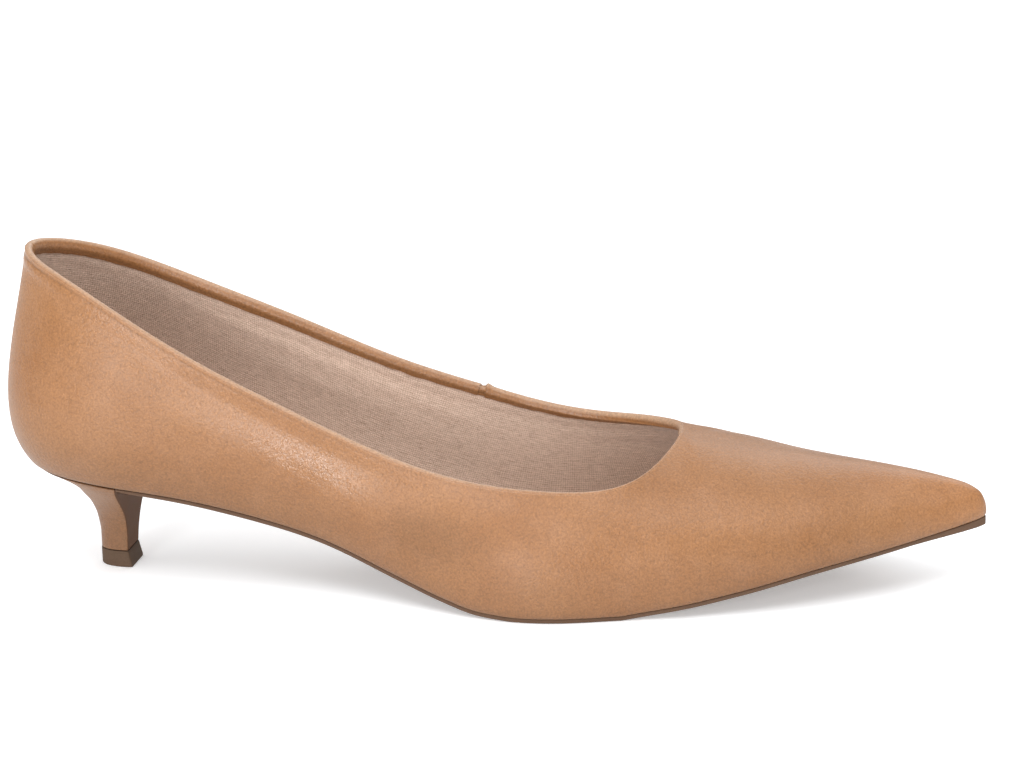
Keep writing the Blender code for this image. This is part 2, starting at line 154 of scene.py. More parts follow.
# Height of the turned edge along the collar, as a share of the facing height
EDGE_HEIGHT = [
    # station, share
    (0, 1.05), (2, 1.05), (4, 0.95), (6, 0.8), (8, 0.66), (10, 0.6),
]

# Edges of the insole and of the outsole from the underside to the top: millimetres in from the
# outline, share of the thickness
INSOLE_EDGE = [
    (3, 0), (0.25, 0), (0, 0.12), (0, 0.62), (0.16, 0.84), (0.5, 0.96), (1.1, 1), (3, 1),
]
SOLE_EDGE = [
    (3, 0), (0.55, 0), (0.22, 0.07), (0.05, 0.28), (0, 0.5), (0, 0.8), (0.06, 0.93), (0.25, 1),
    (3, 1),
]

# Long soft folds in the lining: station, drop below the topline (mm), length in stations,
# slant (mm of drop per station), height (mm), half width (mm); side 1 is outer, -1 inner
LINING_FOLDS = [
    # side, station, drop, reach, slant, height, half_width
    (-1, 3.6, 9, 1.4, 1.5, 0.22, 2.4),
    (-1, 5.2, 9.5, 1, 2, 0.2, 2.2),
    (-1, 4.4, 15, 0.9, -1, 0.15, 2.6),
    (-1, 7.6, 7, 0.9, 0, 0.18, 1.8),
    (-1, 8.6, 9.5, 0.7, 2.5, 0.16, 2),
    (1, 4, 12, 1.2, 1, 0.22, 2.4),
    (1, 6.8, 10, 0.9, 1, 0.18, 2.2),
]

# Creases in the outer leather: side, station, share up the rib, length (mm), slant (degrees),
# depth (mm), half width (mm)
CREASES = [
    (1, 4.2, 0.62, 13, 30, 0.04, 1.1),
    (1, 4.5, 0.57, 16, 27, 0.05, 1.2),
    (1, 4.8, 0.53, 12, 24, 0.04, 1.1),
    (1, 5, 0.61, 9, 34, 0.05, 1),
    (1, 4.35, 0.47, 10, 22, 0.05, 1.2),
    (1, 5.3, 0.5, 10, 18, 0.07, 1.1),
    (-1, 4.4, 0.58, 14, 28, 0.12, 1.2),
    (-1, 4.9, 0.52, 12, 24, 0.1, 1.2),
    (-1, 5.3, 0.57, 9, 20, 0.08, 1.1),
    (1, 13.5, 0.4, 34, 2, -0.16, 2.6),
]


# ---- sizes and colours


def length_size(name, description, default):
    return bpy.props.FloatProperty(
        name=name, description=description, default=default, min=0.0, unit="LENGTH", precision=4
    )


def colour_value(name, description, default):
    return bpy.props.FloatVectorProperty(
        name=name, description=description, default=default, size=3, min=0, max=1, subtype="COLOR"
    )


class PumpSizes(bpy.types.PropertyGroup):
    """Sizes of the pump."""

    length: length_size("Length", "From the rear to the toe tip", 0.262)
    ball_width: length_size("Ball width", "Width that the outline tables follow", 0.078)
    back_height: length_size("Back height", "Topline at the back, above the floor", 0.0885)
    seat_rise: length_size("Seat rise", "Bed at the heel seat above the tread", 0.0286)
    toe_spring: length_size("Toe spring", "Bed at the toe above the tread", 0.0168)
    clearance: length_size("Clearance", "Gap between neighbouring pieces", 0.0003)
    wall: length_size("Wall", "Upper with its lining", 0.0016)
    leather: length_size("Leather", "Thickness of the outer leather", 0.0011)
    facing_height: length_size("Facing height", "Turned edge inside the collar", 0.0034)
    sole_thickness: length_size("Sole thickness", "Outsole under the ball", 0.0011)
    sole_skive: length_size("Sole skive", "Outsole at the heel breast", 0.0008)
    sole_inset: length_size("Sole inset", "Outsole edge inside the feather line", 0.001)
    insole_thickness: length_size("Insole thickness", "Insole with its sock", 0.0022)
    heel_inset: length_size("Heel inset", "Heel seat inside the feather line", 0.0004)
    heel_breast: length_size("Heel breast", "Front of the heel seat from the rear", 0.0334)
    top_piece_height: length_size("Top piece height", "Rubber tip under the heel", 0.0045)
    tip_length: length_size("Tip length", "Top piece from back to front", 0.010)
    tip_width: length_size("Tip width", "Top piece across", 0.0116)
    tip_back: length_size("Tip back", "Back of the top piece from the rear", 0.0224)
    tip_flare: length_size("Tip flare", "Growth of the top piece in length downwards", 0.0011)
    tip_side_flare: length_size("Tip side flare", "Growth of the top piece in width", 0.0003)
    tip_step: length_size("Tip step", "Heel tip inside its top piece", 0.0001)
    stitch_pitch: length_size("Stitch pitch", "Spacing of the side seam's stitches", 0.0011)
    weave_pitch: length_size("Weave pitch", "Spacing of the lining's threads", 0.00058)
    grain_size: length_size("Grain size", "Pebbles of the leather", 0.00055)


class PumpColours(bpy.types.PropertyGroup):
    """Colours of the pump."""

    tan: colour_value("Tan", "Outer leather", (0.318, 0.144, 0.053))
    tan_deep: colour_value("Deep tan", "Darker mottling of the leather", (0.270, 0.112, 0.035))
    tan_rosy: colour_value("Rosy tan", "Paler mottling of the leather", (0.345, 0.170, 0.080))
    lining: colour_value("Lining", "Woven lining", (0.70, 0.525, 0.425))
    # Dark lining colour: painted shade in the gaps between the threads, and the darker flecks of
    # the thread
    lining_dark_and_gap_shade: colour_value("Dark lining thread", "Between the threads", (0.33, 0.225, 0.16))
    sole: colour_value("Sole", "Outsole", (0.135, 0.080, 0.052))
    # Breast: sole leather down the heel breast, made darker still as painted shade under the arch
    breast: colour_value("Breast", "Sole leather down the heel breast", (0.135, 0.065, 0.034))
    # Rim: painted highlight, a pale colour standing in for the shine on the topline's rolled crest
    rim: colour_value("Rim", "Worn crest of the topline", (0.53, 0.355, 0.235))
    rubber: colour_value("Rubber", "Top piece", (0.112, 0.072, 0.048))
    thread: colour_value("Thread", "Side seam stitches", (0.10, 0.045, 0.02))
    floor: colour_value("Floor", "Studio floor", (0.88, 0.90, 0.92))


class Plan:
    """The sizes in millimetres, and what one percent of the outline tables stands for."""

    def __init__(self, sizes):
        for name in PumpSizes.__annotations__:
            setattr(self, name, getattr(sizes, name) / MM)
        self.scale = np.array([self.length, self.ball_width, self.back_height]) / 100.0


# ---- curves and surfaces


def unit(vectors):
    """Each row scaled to length one."""
    return vectors / np.maximum(np.linalg.norm(vectors, axis=-1, keepdims=True), 1e-12)


def held(values):
    """Values held between 0 and 1."""
    return np.clip(values, 0, 1)


def bell(values, centre=0.0, width=1.0):
    """A smooth hump of height 1 around the centre."""
    return np.exp(-(((values - centre) / width) ** 2))


def slopes(rows, closed):
    """Slope at every row of the smooth curve through evenly spaced rows."""
    eye = np.eye(len(rows))
    matrix = 4.0 * eye + np.roll(eye, 1, 1) + np.roll(eye, -1, 1)
    right = 3.0 * (np.roll(rows, -1, 0) - np.roll(rows, 1, 0))
    if not closed:
        matrix[0], matrix[-1] = 2 * eye[0] + eye[1], eye[-2] + 2 * eye[-1]
        right[0], right[-1] = 3.0 * (rows[1] - rows[0]), 3.0 * (rows[-1] - rows[-2])
    return np.linalg.solve(matrix, right)


def joined(a, slope_a, b, slope_b, t):
    """Smooth curve from a to b with these slopes at its ends."""
    return (
        a * (2 * t**3 - 3 * t**2 + 1)
        + slope_a * (t**3 - 2 * t**2 + t)
        + b * (3 * t**2 - 2 * t**3)
        + slope_b * (t**3 - t**2)
    )


def curve(rows, closed, stations):
    """Points at these stations on the smooth curve through the rows."""
    rows, stations = np.asarray(rows, float), np.asarray(stations, float)
    count, slope = len(rows), slopes(rows, closed)
    low = np.floor(stations).astype(int)
    if not closed:
        low = np.clip(low, 0, count - 2)
    a, b = low % count, (low + 1) % count
    return joined(rows[a], slope[a], rows[b], slope[b], (stations - low)[:, None])


def gentle(x, table):
    """Height at x along a table, with no overshoot between its rows."""
    xs, ys = np.asarray(table, float)[:, :2].T
    step = np.diff(xs)
    grade = np.diff(ys) / step
    slope = np.concatenate([grade[:1], np.zeros(len(xs) - 2), grade[-1:]])
    for i in range(1, len(xs) - 1):
        if grade[i - 1] * grade[i] > 0:
            w1, w2 = 2 * step[i] + step[i - 1], step[i] + 2 * step[i - 1]
            slope[i] = (w1 + w2) / (w1 / grade[i - 1] + w2 / grade[i])
    x = np.clip(np.asarray(x, float), xs[0], xs[-1])
    i = np.clip(np.searchsorted(xs, x, side="right") - 1, 0, len(xs) - 2)
    t = (x - xs[i]) / step[i]
    return joined(ys[i], slope[i] * step[i], ys[i + 1], slope[i + 1] * step[i], t)


def bed_height(plan, x):
    """Height of the feather line above the floor."""
    share = 100.0 * np.asarray(x, float) / plan.length
    tread = plan.sole_thickness + plan.clearance
    arch = plan.seat_rise * gentle(share, ARCH) / 100.0
    spring = plan.toe_spring * gentle(share, SPRING) / 100.0
    return tread + np.where(share < ARCH[-1][0], arch, spring)


def sole_underside(plan, x):
    """Underside of the outsole, thinned towards the breast and flat under the ball."""
    skive = held((x - plan.heel_breast) / (plan.length * SKIVE_SHARE))
    thick = plan.sole_skive + (plan.sole_thickness - plan.sole_skive) * skive
    thick = thick + TOE_GROWTH * held((x / plan.length - TOE_FROM) / TOE_SHARE)
    return bed_height(plan, x) - plan.clearance - thick


def loop(table):
    """Both halves of the rows as one closed loop: back, outer side, front, inner side."""
    outer, inner = np.split(np.array(table, float), 2, axis=1)
    return np.concatenate([outer, inner[-2:0:-1]])


def feather_points(plan, stations):
    """Feather line at these stations of its closed loop, as x and y."""
    return curve(loop(FEATHER), True, stations) * plan.scale[:2]


def feather_outward(plan, stations):
    """Level direction that faces away from the foot at these stations."""
    stations = np.asarray(stations, float)
    along = feather_points(plan, stations + NEARBY) - feather_points(plan, stations - NEARBY)
    return unit(np.stack([along[:, 1], -along[:, 0]], 1))


def topline_points(plan, stations):
    """Topline at these stations of its closed loop."""
    return curve(loop(TOPLINE), True, stations) * plan.scale


def ridge_points(plan, stations):
    """Ridge of the vamp at these stations ahead of the throat."""
    return curve(RIDGE, False, stations) * plan.scale


TOE, THROAT = len(FEATHER) - 1, len(TOPLINE) - 1


def ribs(plan, side, stations):
    """Four handles of every rib on one side; stations count from the back, side is 1 or -1."""
    foot_at = stations if side > 0 else 2 * TOE - stations
    top_at = np.minimum(stations, THROAT)
    top_at = top_at if side > 0 else 2 * THROAT - top_at
    foot = feather_points(plan, foot_at)
    foot = np.column_stack([foot, bed_height(plan, foot[:, 0])])
    along = np.maximum(stations - THROAT, 0)
    top = np.where(
        (stations > THROAT)[:, None], ridge_points(plan, along), topline_points(plan, top_at)
    )
    outward = feather_outward(plan, foot_at)
    foot_lean, foot_pull, top_lean, top_pull = curve(loop(RIB_SHAPE), True, foot_at).T
    foot_lean, top_lean = np.radians(foot_lean), np.radians(top_lean)
    span = np.linalg.norm(top - foot, axis=1)
    fall = ridge_points(plan, along + NEARBY) - ridge_points(plan, along - NEARBY)
    grade = fall[:, 2] / fall[:, 0]
    heading = unit(foot[:, :2] - top[:, :2] + outward * HEADING_REACH)
    leave = np.column_stack([outward * np.sin(foot_lean)[:, None], np.cos(foot_lean)])
    down = heading[:, 0] * grade * np.sin(top_lean) - np.cos(top_lean)
    meet = np.column_stack([heading * np.sin(top_lean)[:, None], down])
    low = foot + leave * (span * foot_pull / 100.0)[:, None]
    high = top + meet * (span * top_pull / 100.0)[:, None]
    return foot, low, high, top


# Side seam of the inner side: its station, its lean and the reach of the lean, in stations
SEAM, SEAM_LEAN, SEAM_SPREAD = 6.0, 0.50, 2.2
# Usual length of a station along the side and along the ridge
STATION_MM, RIDGE_STATION_MM = 26.2, 21.0
# Columns of the wall between two stations, and its rows: distances in millimetres from the
# feather line and from the topline, with even rows between them
COLUMNS_PER_STATION = 22
FOOT_ROWS = np.array([0.0, 0.25, 0.6, 1.1, 1.8])
TOP_ROWS = np.array(
    [7.4, 6.6, 5.9, 5.3, 4.7, 4.1, 3.6, 3.1, 2.7, 2.3, 1.95, 1.6, 1.3, 1.05, 0.8, 0.55, 0.3, 0.0]
)
WALL_ROWS = 42
LINING_COLUMNS, LINING_ROWS = 12, 44
# Lining above the feather line and tucked behind the turned edge, in millimetres
LINING_FOOT, LINING_TUCK = 0.25, 0.12
# How far below the topline the face follows it, and the turned edge as its table draws it
RIM_REACH, TURNED_EDGE_DROP = 14.0, 3.4


def columns():
    """Stations of the upper's columns, closer together at the side seam and ahead of the throat."""
    even = np.linspace(0, TOE, TOE * COLUMNS_PER_STATION + 1)
    offsets = np.array([0.15, 0.3, 0.45, 0.6, 0.8, 1.0, 1.3, 1.7, 2.2, 3.0, 4.0]) / STATION_MM
    seam = SEAM + np.concatenate([-offsets[::-1], [0.0], offsets])
    throat = THROAT + np.array([0.25, 0.5, 0.8, 1.2, 1.7, 2.3, 3.0]) / RIDGE_STATION_MM
    close = np.abs(even - SEAM) < offsets[-1] + 0.01
    close |= (even > THROAT) & (even < throat[-1] + 0.01)
    return np.sort(np.concatenate([even[~close], seam, throat]))


def leaned(stations, share, side):
    """Stations at this share up the wall; the inner side's columns lean along its seam."""
    if side > 0:
        return np.broadcast_to(stations, share.shape)
    reach = held(np.abs(stations - SEAM) / SEAM_SPREAD)
    return stations - SEAM_LEAN * (1 - share) * np.cos(reach * np.pi / 2) ** 2


def along_rib(handles, share):
    a, b, c, d = handles
    s, rest = share, 1 - share
    return a * rest**3 + 3 * b * s * rest**2 + 3 * c * s**2 * rest + d * s**3


def wall_grid(plan, side, stations, drops_of):
    """Outer face at every column and row: points, shares up the rib and drops below its top."""
    foot, _, _, top = ribs(plan, side, stations)
    span = np.linalg.norm(top - foot, axis=1)
    share = drops_of(span)
    at = leaned(stations[:, None], share, side)
    points = along_rib(ribs(plan, side, at.ravel()), share.reshape(-1, 1))
    return points.reshape(*share.shape, 3), share, (1 - share) * span[:, None]


def upper_rows(span):
    """Shares of the upper's rows: close together at the feather line and at the topline."""
    near_top = 1.0 - TOP_ROWS[None, :] / span[:, None]
    near_foot = FOOT_ROWS[None, :] / span[:, None]
    between = np.linspace(0.0, 1.0, WALL_ROWS + 2)[1:-1][None, :]
    wall = near_foot[:, -1:] + (near_top[:, :1] - near_foot[:, -1:]) * between
    return np.concatenate([near_foot, wall, near_top], axis=1)


def side_by_side(grids, on_ridge):
    """Point numbers of both sides' grids, which share the back, the toe and the ridge."""
    first = np.arange(grids[1][..., 0].size).reshape(grids[1].shape[:2])
    second = np.full(first.shape, -1)
    own = np.ones(first.shape, bool)
    own[0] = own[-1] = False
    own[on_ridge, -1] = False
    second[~own] = first[~own]
    second[own] = first.size + np.arange(own.sum())
    points = np.concatenate([grids[1].reshape(-1, 3), grids[-1][own]])
    return points, {1: first, -1: second}, own


def grid_faces(index, turn=False):
    quads = np.stack([index[:-1, :-1], index[1:, :-1], index[1:, 1:], index[:-1, 1:]], -1)
    quads = quads.reshape(-1, 4)
    return quads[:, ::-1] if turn else quads


def point_normals(points, faces):
    """Outward direction at every point, averaged over its faces."""
    total = np.zeros_like(points)
    corners = points[faces]
    cross = np.cross(corners[:, 2] - corners[:, 0], corners[:, 3] - corners[:, 1])
    for k in range(4):
        np.add.at(total, faces[:, k], cross)
    return unit(total)


def waves(points, scale, seed):
    """Soft swells between -1 and 1 over the shoe, about this many millimetres apart."""
    rng = np.random.default_rng(seed)
    total = np.zeros(len(points))
    for _ in range(6):
        direction = unit(rng.normal(size=3)) / scale * rng.uniform(0.7, 1.4)
        total += np.sin(2 * np.pi * (points @ direction + rng.uniform()))
    return total / 6.0


def to_line(points, line, reach):
    """Distance of every point to a dense row of points, up to this reach."""
    best = np.full(len(points), reach)
    low, high = line.min(0) - reach, line.max(0) + reach
    near = np.flatnonzero(np.all((points > low) & (points < high), axis=1))
    for part in np.array_split(near, max(1, len(near) // 2000)):
        gap = np.linalg.norm(points[part, None, :] - line[None, :, :], axis=2).min(1)
        best[part] = np.minimum(gap, reach)
    return best


class Wall:
    """Both sides of the shoe's wall as one surface, with the place of every point on it."""

    def __init__(self, plan, stations, rows_of, on_ridge):
        self.plan, self.stations, self.on_ridge = plan, stations, on_ridge
        found = {side: wall_grid(plan, side, stations, rows_of) for side in (1, -1)}
        self.grids, share, drop = ({side: found[side][k] for side in found} for k in range(3))
        self.points, self.index, self.own = side_by_side(self.grids, on_ridge)
        self.faces = np.concatenate(
            [grid_faces(self.index[1]), grid_faces(self.index[-1], turn=True)]
        )
        self.normals = point_normals(self.points, self.faces)
        self.share, self.drop = self.per_point(share), self.per_point(drop)
        even = np.repeat(stations[:, None], share[1].shape[1], 1)
        self.station = self.per_point({1: even, -1: even})
        self.side = np.repeat([1.0, -1.0], [even.size, self.own.sum()])

    def per_point(self, values):
        """Values of both sides' grids as one row for the shared points."""
        first = values[1]
        return np.concatenate([first.reshape(-1, *first.shape[2:]), values[-1][self.own]])

    def to_topline(self, per_station):
        """Distance of every point to the topline."""
        dense = np.linspace(0, 2 * THROAT, 2 * THROAT * per_station, endpoint=False)
        return to_line(self.points, topline_points(self.plan, dense), RIM_REACH)

    def collar(self):
        """Numbers of the topline's points as a closed loop, with their stations and sides."""
        hole = int(np.flatnonzero(self.on_ridge)[0])
        outer, inner = np.arange(hole + 1), np.arange(hole - 1, 0, -1)
        row = np.concatenate([self.index[1][outer, -1], self.index[-1][inner, -1]])
        sides = np.repeat([1.0, -1.0], [len(outer), len(inner)])
        return row, self.stations[np.concatenate([outer, inner])], sides

    def closed_skin(self, front, back):
        """Points and faces of both faces of the wall, joined along the sole and the collar."""
        foot = np.concatenate([self.index[1][:, 0], self.index[-1][-2:0:-1, 0]])
        faces = [self.faces, self.faces[:, ::-1] + len(front)]
        for row in (foot, self.collar()[0]):
            ahead = np.roll(row, -1)
            faces.append(np.stack([row, ahead, ahead + len(front), row + len(front)], 1))
        return np.concatenate([front, back]), np.concatenate(faces)


class Upper(Wall):
    """Outer face of the upper with its seam, rim shape and creases, shared by several pieces."""

    def __init__(self, plan):
        stations = columns()
        super().__init__(plan, stations, upper_rows, stations >= THROAT - 1e-9)
        self.edge = self.to_topline(60)
        self.shape_face()

    def shape_face(self):
        """Moves the face along its normals: rim, soft swells, creases, seam and lasted edge."""
        points, normals, edge = self.points, self.normals, self.edge
        share, drop, station, side = self.share, self.drop, self.station, self.side
        foot_drop = self.per_point(
            {k: np.linalg.norm(points[self.index[k]] - points[self.index[k][:, :1]], axis=2)
             for k in (1, -1)}
        )
        clear = held(foot_drop / 6.0) * held(edge / 7.0)
        move = 0.16 * waves(points, 34.0, 3) * clear + 0.05 * waves(points, 13.0, 5) * clear
        # The leather is pressed flat along the rim and swells out again below it
        self.rear_at = rear = held(1.1 - station / 7.0)
        crown = 2.4 + 1.6 * held(station / 5.0)
        swell = bell(edge, crown, 0.42 * crown)
        move += 0.16 * held(1.2 - station / 4.0) * swell
        move -= 0.07 * rear * bell(edge, 1.2, 0.3)
        # The waist is hollow under the topline and full below it
        waist = bell(station, 4.3, 1.9) * np.where(side > 0, 1.0, 0.6)
        full = 0.95 * bell(drop, 15.5, 6.0)
        hollow = 0.42 * bell(drop, 5.6, 2.9)
        move += waist * (full - hollow) * held(foot_drop / 6.0)
        for crease_side, at, up, length, slant, depth, half in CREASES:
            centre = self.place(crease_side, at, up)
            column = self.place(crease_side, at + 0.02, up) - centre
            rise = self.place(crease_side, at, up + 0.02) - centre
            u, v = unit(np.array([column, rise]))
            turn = np.radians(slant)
            along = u * np.cos(turn) - v * np.sin(turn)
            across = u * np.sin(turn) + v * np.cos(turn)
            offset = points - centre
            run = offset @ along
            fade = np.exp(-((run / (length / 2)) ** 4))
            gap = (offset @ across - 0.012 * run**2) / half
            near = np.linalg.norm(offset, axis=1) < length
            move -= near * (side == crease_side) * depth * fade * (1 - gap**2) * bell(gap)
        # Polished at the waist and along the rim, duller elsewhere; the dull hollow below the waist
        # turns the polish negative, and the leather darkens it there as painted shade
        along = (station - 4.7) / np.where(station > 4.7, 0.7, 0.95)
        polished = bell(along) * bell(drop, 12.0, 9.0)
        polished += 0.48 * rear * bell(edge, 2.6, 2.0)
        polished += 0.24 * held(1 - np.abs(station - 2.8) / 1.8) * bell(drop, 8.0, 7.0)
        polished += 0.40 * held((station - 9.5) / 2.0) * held(share * 2 - 1)
        dull_and_shaded = bell(station, 5.7, 0.9) * bell(drop, 16.0, 8.0)
        self.polish = np.clip(0.16 + polished - 0.7 * dull_and_shaded, -0.4, 1)
        # Painted light: the toe is made paler towards its tip
        self.toe_painted_light = held((station - 11.8) / 2.6)
        away = (station - SEAM) * STATION_MM
        seam = (side < 0) & (np.abs(away) < 14)
        step = held(away / 0.35 + 0.5)
        lift = 0.32 * step * np.exp(-np.maximum(away, 0) / 5.0)
        move += seam * (lift - 0.50 * bell(away, 0, 0.42))
        move -= 0.45 * held(1 - foot_drop / 1.3) ** 2
        move[edge < 1e-6] = 0.0
        self.flat = points
        self.points = points + normals * move[:, None]
        self.foot_at = foot_drop
        self.normals = point_normals(self.points, self.faces)

    def place(self, side, station, share):
        """Point of the plain face at this station and share up the wall."""
        return along_rib(ribs(self.plan, side, np.array([float(station)])), share)[0]


# ---- pieces


def edge_height(plan, stations):
    """Height of the turned edge inside the collar."""
    return plan.facing_height * np.interp(stations, *np.transpose(EDGE_HEIGHT))


def place_offset(plan):
    """Moves a point from the drawing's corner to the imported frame, in metres."""
    low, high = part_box("top_piece")
    return np.array([low[0] - plan.tip_back * MM, (low[1] + high[1]) / 2, 0.0])


def add_object(name, data, place=None):
    """Adds an object with this data, and stands it at this place."""
    made = bpy.data.objects.new(name, data)
    bpy.context.scene.collection.objects.link(made)
    if place:
        made.matrix_world = place
    return made


def add_piece(name, points, faces, look, sharp=40.0, values=None, replaced=None,
              second=None):
    """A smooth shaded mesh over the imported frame, in metres, riding on the shoe's one body."""
    plan = Plan(bpy.context.scene.pump_sizes)
    placed = np.asarray(points, float) * MM + place_offset(plan)
    mesh = bpy.data.meshes.new(name)
    mesh.from_pydata(placed.tolist(), [], [list(map(int, face)) for face in faces])
    for label, numbers in (values or {}).items():
        numbers = np.asarray(numbers, np.float32)
        kind, key = ("FLOAT", "value") if numbers.ndim == 1 else ("FLOAT_VECTOR", "vector")
        mesh.attributes.new(label, kind, "POINT").data.foreach_set(key, numbers.ravel())
    work = bmesh.new()
    work.from_mesh(mesh)
    bmesh.ops.recalc_face_normals(work, faces=work.faces)
    work.to_mesh(mesh)
    work.free()
    mesh.shade_smooth()
    mesh.set_sharp_from_angle(angle=float(np.radians(sharp)))
    mesh.materials.append(look)
    if second:
        mesh.materials.append(second[0])
        mesh.polygons.foreach_set("material_index", np.asarray(second[1], np.int32))
    piece = add_object(name, mesh)
    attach(piece, "root")
    if replaced:
        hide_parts(replaced)
    return piece


def build_upper_leather(plan, upper, look):
    """Outer leather as one closed skin from the feather line to the topline."""
    outer, normals = upper.points, upper.normals
    inner = upper.flat - normals * plan.leather
    foot = upper.foot_at < 1e-9
    inner[foot] = upper.flat[foot]
    for side in (1, -1):
        row = upper.index[side][:, 0]
        out = feather_outward(
            plan, upper.stations if side > 0 else 2 * TOE - upper.stations
        )
        inner[row, :2] = upper.flat[row, :2] - out * plan.leather
    values = {"edge": upper.edge, "foot": upper.foot_at, "rear": upper.rear_at,
              "toe": upper.toe_painted_light, "polish": upper.polish}
    values = {name: np.tile(row, 2) for name, row in values.items()}
    points, faces = upper.closed_skin(outer, inner)
    return add_piece("upper_leather", points, faces, look, 50.0, values, "upper")


def collar_frames(upper):
    """Points of the topline with their outward, forward and down directions."""
    row, stations, sides = upper.collar()
    points = upper.points[row]
    out = upper.normals[row]
    ahead = unit(np.roll(points, -1, 0) - np.roll(points, 1, 0))
    down = unit(np.cross(ahead, out))
    below = np.array([upper.index[1 if s > 0 else -1][i, -4] for s, i in
                      zip(sides, np.searchsorted(upper.stations, stations))])
    wrong = ((upper.points[below] - points) * down).sum(1) < 0
    down[wrong] *= -1
    out = unit(out - down * (out * down).sum(1)[:, None])
    return points, out, down, stations, sides


def build_turned_edge(plan, upper, look):
    """Leather turned over the topline and down the inside of the collar."""
    points, out, down, stations, sides = collar_frames(upper)
    away = np.where(sides < 0, (stations - SEAM) * STATION_MM, 99.0)
    back = np.minimum(stations, 1.0) * 12.0
    rng = np.random.default_rng(11)
    ragged = rng.normal(size=len(points))
    ragged = (ragged + np.roll(ragged, 1) + np.roll(ragged, -1)) / 3.0
    notch = 0.95 * bell(away, 0, 0.42) + 0.12 * bell(back, 0, 0.6)
    lift = 0.42 * bell(away, 1.3, 1.1) * (away > 0)
    lift += 0.20 * np.exp(-np.maximum(away, 0) / 4.0) * (away > 0.6)
    groove = 0.55 * bell(away, 0, 0.38) + 0.30 * bell(back, 0, 0.5)
    rings = []
    tall = edge_height(plan, stations) / TURNED_EDGE_DROP
    for drop, depth in TURNED_EDGE:
        at_top = held((1.6 - drop) / 1.6)
        inside = held((depth - 1.3) / 0.6)
        fall = drop * (tall if drop > 1 else 1) + at_top * (notch - lift)
        if drop > 2.9 and depth > 1.5:
            fall = fall + 0.11 * ragged
        deep = depth - groove * inside + 0.16 * (away > 0) * inside * np.exp(-np.abs(away) / 6)
        rings.append(points + down * np.asarray(fall)[:, None] - out * np.asarray(deep)[:, None])
    rings = np.array(rings)
    index = np.arange(rings[..., 0].size).reshape(rings.shape[:2])
    index = np.pad(index, ((0, 1), (0, 1)), "wrap")
    drops, depths = np.repeat(np.transpose(TURNED_EDGE), len(points), axis=1)
    return add_piece(
        "turned_edge", rings.reshape(-1, 3), grid_faces(index), look, 60.0,
        {"edge": drops, "depth": depths},
    )


def build_lining(plan, look):
    """Woven lining from the insole to the turned edge, all the way into the toe."""
    stations = np.linspace(0, TOE, TOE * LINING_COLUMNS + 1)
    rows = np.linspace(0.0, 1.0, LINING_ROWS)
    ahead = (stations - THROAT) * RIDGE_STATION_MM
    band = edge_height(plan, stations) - LINING_TUCK
    high = np.sqrt(np.clip(band**2 - np.maximum(ahead, 0) ** 2, 0, None))

    def shares(span):
        first, last = LINING_FOOT / span, 1.0 - high / span
        return first[:, None] + (last - first)[:, None] * rows[None, :]

    wall = Wall(plan, stations, shares, ahead >= band[-1])
    run = {}
    for side in (1, -1):
        step = np.linalg.norm(np.diff(wall.grids[side][:, LINING_ROWS // 2], axis=0), axis=1)
        run[side] = np.concatenate([[0.0], np.cumsum(step)])[:, None] * np.full(LINING_ROWS, side)
    points, drop, edge = wall.points, wall.drop, wall.to_topline(30)
    threads = np.column_stack([wall.per_point(run), drop, np.zeros(len(points))])
    below = edge - edge_height(plan, wall.station)
    depth = plan.wall + 0.30 * bell(below, 1.2, 0.8) - 0.08 * bell(below, 3.0, 0.8)
    depth += 0.10 * waves(points, 24.0, 21) * held((below - 1) / 4)
    for side, at, fold_drop, reach, slant, height, half in LINING_FOLDS:
        away = (wall.station - at) / reach
        gap = (drop - fold_drop - slant * (wall.station - at)) / half
        fold = (1 - gap**2) * np.exp(-(gap**2) / 1.5) * np.exp(-(away**4))
        depth += (wall.side == side) * height * fold
    front = points - wall.normals * depth[:, None]
    back = points - wall.normals * (plan.leather + 0.08)
    points, faces = wall.closed_skin(front, back)
    return add_piece(
        "woven_lining", points, faces, look, 60.0,
        {"threads": np.tile(threads, (2, 1))},
    )


def side_lines(plan, inset, toe_share=1.0):
    """Outline moved inwards, less at the toe, split at its rear and toe: x and y of each side."""
    stations = np.linspace(0, 2 * TOE, 2 * TOE * 40, endpoint=False)
    from_toe = held(np.abs(stations - TOE) / 2.0)[:, None]
    depth = inset * (toe_share + (1.0 - toe_share) * from_toe)
    ring = feather_points(plan, stations) - feather_outward(plan, stations) * depth
    rear, toe = int(np.argmin(ring[:, 0])), int(np.argmax(ring[:, 0]))
    ring = np.roll(ring, -rear, axis=0)
    toe = (toe - rear) % len(ring)
    return ring[: toe + 1], np.vstack([ring[toe:], ring[:1]])[::-1]


